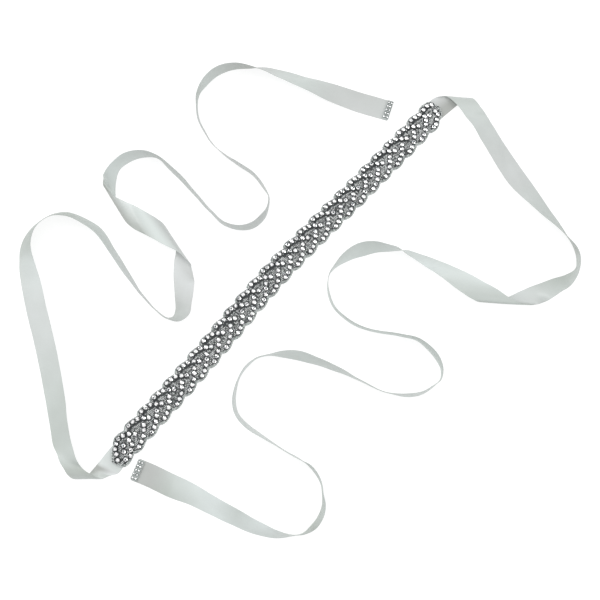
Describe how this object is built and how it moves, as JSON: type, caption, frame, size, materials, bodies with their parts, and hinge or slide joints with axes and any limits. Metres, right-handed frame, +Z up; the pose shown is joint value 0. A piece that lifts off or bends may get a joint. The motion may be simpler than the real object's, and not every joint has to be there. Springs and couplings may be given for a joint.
{
  "type": "bridal sash",
  "caption": "Long satin ribbon sash with a scalloped band of set stones along its middle, laid out flat with curling tails; ties round a gown's waist.",
  "frame": {"origin": "on the table under the middle of the laid-out sash's bounding box", "axes": "+X to the right of the laid-out sash as pictured, +Y away from the viewer along the table, +Z up"},
  "size_m": [0.5718, 0.4892, 0.022],
  "materials": {
    "satin_ribbon": "pale silver-grey double-faced satin, shiny front, duller reverse",
    "stone_band": "clear foil-backed glass stones in silver claw cups over grey glass seed beads",
    "stone_trim": "small clear foil-backed glass stones in two rows on a silver strip"
  },
  "bodies": {
    "root": {"ribbon_under_band": "satin_ribbon", "stone_band": "stone_band", "ribbon_left_1_from_band": "satin_ribbon", "ribbon_left_2_side": "satin_ribbon", "ribbon_left_3_shoulder": "satin_ribbon", "ribbon_left_4_turn": "satin_ribbon", "ribbon_left_5_lens": "satin_ribbon", "ribbon_left_6_arch": "satin_ribbon", "ribbon_left_7_loop": "satin_ribbon", "ribbon_left_8_top": "satin_ribbon", "ribbon_left_9_end": "satin_ribbon", "ribbon_right_1_from_band": "satin_ribbon", "ribbon_right_2_descent": "satin_ribbon", "ribbon_right_3_turn": "satin_ribbon", "ribbon_right_4_fold": "satin_ribbon", "ribbon_right_5_lens": "satin_ribbon", "ribbon_right_6_bend": "satin_ribbon", "ribbon_right_7_arch": "satin_ribbon", "ribbon_right_8_hook": "satin_ribbon", "ribbon_right_9_loop": "satin_ribbon", "ribbon_right_10_end": "satin_ribbon", "stone_trim_left": "stone_trim", "stone_trim_right": "stone_trim"}
  },
  "joints": []
}
